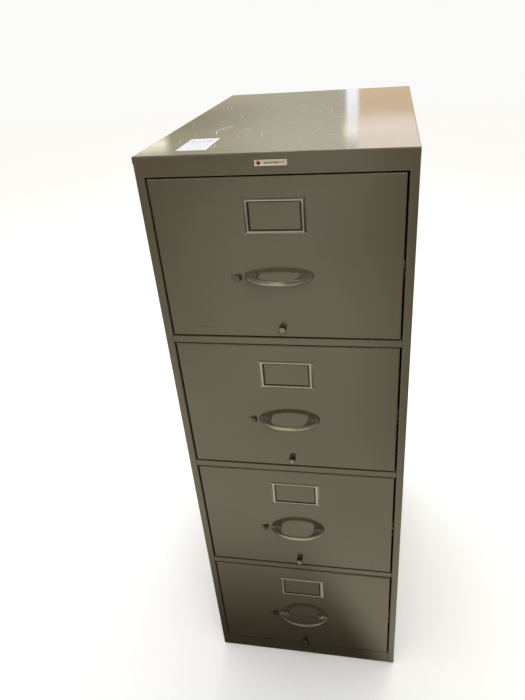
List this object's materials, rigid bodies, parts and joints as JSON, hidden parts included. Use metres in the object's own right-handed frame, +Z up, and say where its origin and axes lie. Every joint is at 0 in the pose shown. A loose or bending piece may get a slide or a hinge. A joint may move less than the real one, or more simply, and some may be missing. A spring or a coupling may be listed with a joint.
{
  "type": "vertical filing cabinet",
  "caption": "Tall painted steel filing cabinet with stacked pull-out drawers, each with a bow handle, card holder, thumb latch and guide rod.",
  "frame": {"origin": "on the floor, below the middle of the cabinet's overall box, handles included", "axes": "+X to the viewer's right when facing the drawers, +Y from the front to the back, +Z up"},
  "size_m": [0.457, 0.733, 1.3072],
  "materials": {
    "case_paint": "semi-gloss olive grey enamel",
    "drawer_paint": "semi-gloss olive grey enamel",
    "tray_paint": "satin olive grey enamel",
    "zinc_steel": "zinc plated",
    "handle_metal": "dulled nickel plate",
    "holder_metal": "dulled nickel plate",
    "latch_metal": "dulled nickel plate",
    "rod_metal": "turned steel",
    "nylon": "natural nylon",
    "nameplate_enamel": "cream enamel with a thin dark edge",
    "label_paper": "uncoated paper"
  },
  "bodies": {
    "case": {"left_side_panel": "case_paint", "right_side_panel": "case_paint", "top_panel": "case_paint", "back_panel": "case_paint", "base_frame": "case_paint", "front_header": "case_paint", "crossrails": "case_paint", "case_channels": "zinc_steel", "latch_strikes": "zinc_steel", "nameplate": "nameplate_enamel", "top_label": "label_paper", "levelling_glides": "zinc_steel"},
    "drawer_1": {"drawer_1_front": "drawer_paint", "drawer_1_tray": "tray_paint", "drawer_1_handle": "handle_metal", "drawer_1_card_holder": "holder_metal"},
    "drawer_1_cradle": {"drawer_1_cradle": "zinc_steel"},
    "drawer_1_case_rollers": {"drawer_1_case_rollers": "nylon"},
    "drawer_1_cradle_front_rollers": {"drawer_1_cradle_front_rollers": "nylon"},
    "drawer_1_cradle_rear_rollers": {"drawer_1_cradle_rear_rollers": "nylon"},
    "drawer_1_tray_rollers": {"drawer_1_tray_rollers": "nylon"},
    "drawer_1_thumb_latch": {"drawer_1_thumb_latch": "latch_metal"},
    "drawer_1_guide_rod": {"drawer_1_guide_rod": "rod_metal"},
    "drawer_1_follower": {"drawer_1_follower": "zinc_steel"},
    "drawer_2": {"drawer_2_front": "drawer_paint", "drawer_2_tray": "tray_paint", "drawer_2_handle": "handle_metal", "drawer_2_card_holder": "holder_metal"},
    "drawer_2_cradle": {"drawer_2_cradle": "zinc_steel"},
    "drawer_2_case_rollers": {"drawer_2_case_rollers": "nylon"},
    "drawer_2_cradle_front_rollers": {"drawer_2_cradle_front_rollers": "nylon"},
    "drawer_2_cradle_rear_rollers": {"drawer_2_cradle_rear_rollers": "nylon"},
    "drawer_2_tray_rollers": {"drawer_2_tray_rollers": "nylon"},
    "drawer_2_thumb_latch": {"drawer_2_thumb_latch": "latch_metal"},
    "drawer_2_guide_rod": {"drawer_2_guide_rod": "rod_metal"},
    "drawer_2_follower": {"drawer_2_follower": "zinc_steel"},
    "drawer_3": {"drawer_3_front": "drawer_paint", "drawer_3_tray": "tray_paint", "drawer_3_handle": "handle_metal", "drawer_3_card_holder": "holder_metal"},
    "drawer_3_cradle": {"drawer_3_cradle": "zinc_steel"},
    "drawer_3_case_rollers": {"drawer_3_case_rollers": "nylon"},
    "drawer_3_cradle_front_rollers": {"drawer_3_cradle_front_rollers": "nylon"},
    "drawer_3_cradle_rear_rollers": {"drawer_3_cradle_rear_rollers": "nylon"},
    "drawer_3_tray_rollers": {"drawer_3_tray_rollers": "nylon"},
    "drawer_3_thumb_latch": {"drawer_3_thumb_latch": "latch_metal"},
    "drawer_3_guide_rod": {"drawer_3_guide_rod": "rod_metal"},
    "drawer_3_follower": {"drawer_3_follower": "zinc_steel"},
    "drawer_4": {"drawer_4_front": "drawer_paint", "drawer_4_tray": "tray_paint", "drawer_4_handle": "handle_metal", "drawer_4_card_holder": "holder_metal"},
    "drawer_4_cradle": {"drawer_4_cradle": "zinc_steel"},
    "drawer_4_case_rollers": {"drawer_4_case_rollers": "nylon"},
    "drawer_4_cradle_front_rollers": {"drawer_4_cradle_front_rollers": "nylon"},
    "drawer_4_cradle_rear_rollers": {"drawer_4_cradle_rear_rollers": "nylon"},
    "drawer_4_tray_rollers": {"drawer_4_tray_rollers": "nylon"},
    "drawer_4_thumb_latch": {"drawer_4_thumb_latch": "latch_metal"},
    "drawer_4_guide_rod": {"drawer_4_guide_rod": "rod_metal"},
    "drawer_4_follower": {"drawer_4_follower": "zinc_steel"}
  },
  "joints": [
    {"name": "drawer_1_slide", "type": "slide", "parent": "case", "child": "drawer_1", "axis": [0, -1, 0], "range_m": [0, 0.6]},
    {"name": "drawer_1_cradle_slide", "type": "slide", "parent": "case", "child": "drawer_1_cradle", "axis": [0, -1, 0], "range_m": [0, 0.3]},
    {"name": "drawer_1_case_rollers_turn", "type": "hinge", "parent": "case", "child": "drawer_1_case_rollers", "pos_m": [0, -0.2935, 1.0837], "axis": [1, 0, 0], "continuous": true},
    {"name": "drawer_1_cradle_front_rollers_turn", "type": "hinge", "parent": "drawer_1_cradle", "child": "drawer_1_cradle_front_rollers", "pos_m": [0, -0.2935, 1.11], "axis": [1, 0, 0], "continuous": true},
    {"name": "drawer_1_cradle_rear_rollers_turn", "type": "hinge", "parent": "drawer_1_cradle", "child": "drawer_1_cradle_rear_rollers", "pos_m": [0, 0.3065, 1.108], "axis": [1, 0, 0], "continuous": true},
    {"name": "drawer_1_tray_rollers_turn", "type": "hinge", "parent": "drawer_1", "child": "drawer_1_tray_rollers", "pos_m": [0, 0.3065, 1.1078], "axis": [1, 0, 0], "continuous": true},
    {"name": "drawer_1_latch_slide", "type": "slide", "parent": "drawer_1", "child": "drawer_1_thumb_latch", "axis": [-1, 0, 0], "range_m": [0, 0.007], "stiffness_N_per_m": 300, "springref_m": -0.012},
    {"name": "drawer_1_rod_slide", "type": "slide", "parent": "drawer_1", "child": "drawer_1_guide_rod", "axis": [0, -1, 0], "range_m": [0, 0.6]},
    {"name": "drawer_1_follower_slide", "type": "slide", "parent": "drawer_1", "child": "drawer_1_follower", "axis": [0, -1, 0], "range_m": [0, 0.45]},
    {"name": "drawer_2_slide", "type": "slide", "parent": "case", "child": "drawer_2", "axis": [0, -1, 0], "range_m": [0, 0.6]},
    {"name": "drawer_2_cradle_slide", "type": "slide", "parent": "case", "child": "drawer_2_cradle", "axis": [0, -1, 0], "range_m": [0, 0.3]},
    {"name": "drawer_2_case_rollers_turn", "type": "hinge", "parent": "case", "child": "drawer_2_case_rollers", "pos_m": [0, -0.2935, 0.7727], "axis": [1, 0, 0], "continuous": true},
    {"name": "drawer_2_cradle_front_rollers_turn", "type": "hinge", "parent": "drawer_2_cradle", "child": "drawer_2_cradle_front_rollers", "pos_m": [0, -0.2935, 0.799], "axis": [1, 0, 0], "continuous": true},
    {"name": "drawer_2_cradle_rear_rollers_turn", "type": "hinge", "parent": "drawer_2_cradle", "child": "drawer_2_cradle_rear_rollers", "pos_m": [0, 0.3065, 0.797], "axis": [1, 0, 0], "continuous": true},
    {"name": "drawer_2_tray_rollers_turn", "type": "hinge", "parent": "drawer_2", "child": "drawer_2_tray_rollers", "pos_m": [0, 0.3065, 0.7968], "axis": [1, 0, 0], "continuous": true},
    {"name": "drawer_2_latch_slide", "type": "slide", "parent": "drawer_2", "child": "drawer_2_thumb_latch", "axis": [-1, 0, 0], "range_m": [0, 0.007], "stiffness_N_per_m": 300, "springref_m": -0.012},
    {"name": "drawer_2_rod_slide", "type": "slide", "parent": "drawer_2", "child": "drawer_2_guide_rod", "axis": [0, -1, 0], "range_m": [0, 0.6]},
    {"name": "drawer_2_follower_slide", "type": "slide", "parent": "drawer_2", "child": "drawer_2_follower", "axis": [0, -1, 0], "range_m": [0, 0.45]},
    {"name": "drawer_3_slide", "type": "slide", "parent": "case", "child": "drawer_3", "axis": [0, -1, 0], "range_m": [0, 0.6]},
    {"name": "drawer_3_cradle_slide", "type": "slide", "parent": "case", "child": "drawer_3_cradle", "axis": [0, -1, 0], "range_m": [0, 0.3]},
    {"name": "drawer_3_case_rollers_turn", "type": "hinge", "parent": "case", "child": "drawer_3_case_rollers", "pos_m": [0, -0.2935, 0.4617], "axis": [1, 0, 0], "continuous": true},
    {"name": "drawer_3_cradle_front_rollers_turn", "type": "hinge", "parent": "drawer_3_cradle", "child": "drawer_3_cradle_front_rollers", "pos_m": [0, -0.2935, 0.488], "axis": [1, 0, 0], "continuous": true},
    {"name": "drawer_3_cradle_rear_rollers_turn", "type": "hinge", "parent": "drawer_3_cradle", "child": "drawer_3_cradle_rear_rollers", "pos_m": [0, 0.3065, 0.486], "axis": [1, 0, 0], "continuous": true},
    {"name": "drawer_3_tray_rollers_turn", "type": "hinge", "parent": "drawer_3", "child": "drawer_3_tray_rollers", "pos_m": [0, 0.3065, 0.4858], "axis": [1, 0, 0], "continuous": true},
    {"name": "drawer_3_latch_slide", "type": "slide", "parent": "drawer_3", "child": "drawer_3_thumb_latch", "axis": [-1, 0, 0], "range_m": [0, 0.007], "stiffness_N_per_m": 300, "springref_m": -0.012},
    {"name": "drawer_3_rod_slide", "type": "slide", "parent": "drawer_3", "child": "drawer_3_guide_rod", "axis": [0, -1, 0], "range_m": [0, 0.6]},
    {"name": "drawer_3_follower_slide", "type": "slide", "parent": "drawer_3", "child": "drawer_3_follower", "axis": [0, -1, 0], "range_m": [0, 0.45]},
    {"name": "drawer_4_slide", "type": "slide", "parent": "case", "child": "drawer_4", "axis": [0, -1, 0], "range_m": [0, 0.6]},
    {"name": "drawer_4_cradle_slide", "type": "slide", "parent": "case", "child": "drawer_4_cradle", "axis": [0, -1, 0], "range_m": [0, 0.3]},
    {"name": "drawer_4_case_rollers_turn", "type": "hinge", "parent": "case", "child": "drawer_4_case_rollers", "pos_m": [0, -0.2935, 0.1507], "axis": [1, 0, 0], "continuous": true},
    {"name": "drawer_4_cradle_front_rollers_turn", "type": "hinge", "parent": "drawer_4_cradle", "child": "drawer_4_cradle_front_rollers", "pos_m": [0, -0.2955, 0.177], "axis": [1, 0, 0], "continuous": true},
    {"name": "drawer_4_cradle_rear_rollers_turn", "type": "hinge", "parent": "drawer_4_cradle", "child": "drawer_4_cradle_rear_rollers", "pos_m": [0, 0.3045, 0.175], "axis": [1, 0, 0], "continuous": true},
    {"name": "drawer_4_tray_rollers_turn", "type": "hinge", "parent": "drawer_4", "child": "drawer_4_tray_rollers", "pos_m": [0, 0.3045, 0.1748], "axis": [1, 0, 0], "continuous": true},
    {"name": "drawer_4_latch_slide", "type": "slide", "parent": "drawer_4", "child": "drawer_4_thumb_latch", "axis": [-1, 0, 0], "range_m": [0, 0.007], "stiffness_N_per_m": 300, "springref_m": -0.012},
    {"name": "drawer_4_rod_slide", "type": "slide", "parent": "drawer_4", "child": "drawer_4_guide_rod", "axis": [0, -1, 0], "range_m": [0, 0.6]},
    {"name": "drawer_4_follower_slide", "type": "slide", "parent": "drawer_4", "child": "drawer_4_follower", "axis": [0, -1, 0], "range_m": [0, 0.45]}
  ],
  "couplings": [
    {"joint": "drawer_1_cradle_slide", "follows": "drawer_1_slide", "ratio": 0.5},
    {"joint": "drawer_1_case_rollers_turn", "follows": "drawer_1_slide", "rad_per_m": 45.455},
    {"joint": "drawer_1_cradle_front_rollers_turn", "follows": "drawer_1_slide", "rad_per_m": 41.667},
    {"joint": "drawer_1_cradle_rear_rollers_turn", "follows": "drawer_1_slide", "rad_per_m": 45.455},
    {"joint": "drawer_1_tray_rollers_turn", "follows": "drawer_1_slide", "rad_per_m": 45.455},
    {"joint": "drawer_2_cradle_slide", "follows": "drawer_2_slide", "ratio": 0.5},
    {"joint": "drawer_2_case_rollers_turn", "follows": "drawer_2_slide", "rad_per_m": 45.455},
    {"joint": "drawer_2_cradle_front_rollers_turn", "follows": "drawer_2_slide", "rad_per_m": 41.667},
    {"joint": "drawer_2_cradle_rear_rollers_turn", "follows": "drawer_2_slide", "rad_per_m": 45.455},
    {"joint": "drawer_2_tray_rollers_turn", "follows": "drawer_2_slide", "rad_per_m": 45.455},
    {"joint": "drawer_3_cradle_slide", "follows": "drawer_3_slide", "ratio": 0.5},
    {"joint": "drawer_3_case_rollers_turn", "follows": "drawer_3_slide", "rad_per_m": 45.455},
    {"joint": "drawer_3_cradle_front_rollers_turn", "follows": "drawer_3_slide", "rad_per_m": 41.667},
    {"joint": "drawer_3_cradle_rear_rollers_turn", "follows": "drawer_3_slide", "rad_per_m": 45.455},
    {"joint": "drawer_3_tray_rollers_turn", "follows": "drawer_3_slide", "rad_per_m": 45.455},
    {"joint": "drawer_4_cradle_slide", "follows": "drawer_4_slide", "ratio": 0.5},
    {"joint": "drawer_4_case_rollers_turn", "follows": "drawer_4_slide", "rad_per_m": 45.455},
    {"joint": "drawer_4_cradle_front_rollers_turn", "follows": "drawer_4_slide", "rad_per_m": 41.667},
    {"joint": "drawer_4_cradle_rear_rollers_turn", "follows": "drawer_4_slide", "rad_per_m": 45.455},
    {"joint": "drawer_4_tray_rollers_turn", "follows": "drawer_4_slide", "rad_per_m": 45.455}
  ]
}
